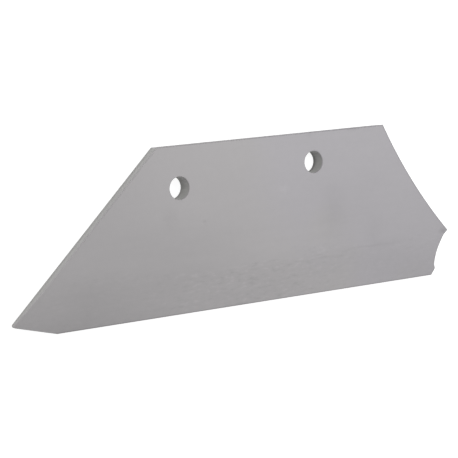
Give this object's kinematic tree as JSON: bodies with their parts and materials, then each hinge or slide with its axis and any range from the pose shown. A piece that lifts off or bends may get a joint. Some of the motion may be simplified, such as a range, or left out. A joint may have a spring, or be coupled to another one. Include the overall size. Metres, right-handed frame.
{
  "type": "plough share",
  "caption": "Flat steel plough share with a slanted landside point, bevelled cutting edge, concave shoulder and heel, and plain bolt holes.",
  "frame": {"origin": "centre of the point-side bolt hole, on the seat face that lies against the plough body", "axes": "+X along the cutting edge from the point to the heel, +Y from the cutting edge up to the top edge, +Z from the seat face out through the wearing face"},
  "size_m": [0.3952, 0.1269, 0.012],
  "materials": {
    "grey_paint": "satin grey primer paint over rolled steel"
  },
  "bodies": {
    "root": {"share_blade": "grey_paint"}
  },
  "joints": []
}
